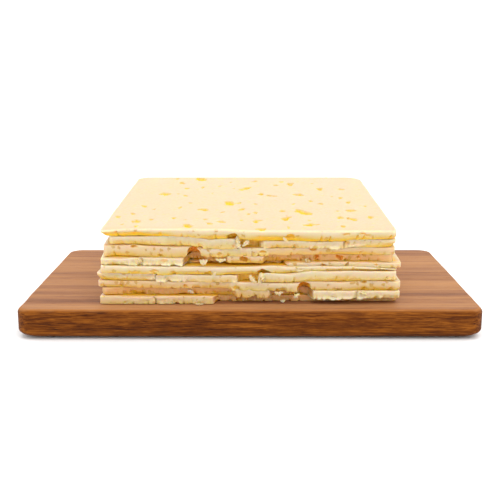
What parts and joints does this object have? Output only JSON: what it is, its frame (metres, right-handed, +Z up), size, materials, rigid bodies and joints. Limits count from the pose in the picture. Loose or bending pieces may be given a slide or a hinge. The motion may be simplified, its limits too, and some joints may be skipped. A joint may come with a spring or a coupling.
{
  "type": "stack of cheese slices on a wooden board",
  "caption": "Thin rectangular slices of pale semi-soft cheese with small eyes, stacked on a small rounded wooden serving board.",
  "frame": {"origin": "middle of the board's underside, on the surface that it stands on", "axes": "+X to the right along the board's length, +Y to the back across it, +Z up through the stack"},
  "size_m": [0.1864, 0.11, 0.0505],
  "materials": {
    "cheese": "satin",
    "board_wood": "satin"
  },
  "bodies": {
    "root": {"serving_board": "board_wood", "slice_01": "cheese", "slice_02": "cheese", "slice_03": "cheese", "slice_04": "cheese", "slice_05": "cheese", "slice_06": "cheese", "slice_07": "cheese", "slice_08": "cheese", "slice_09": "cheese", "slice_10": "cheese"}
  },
  "joints": []
}
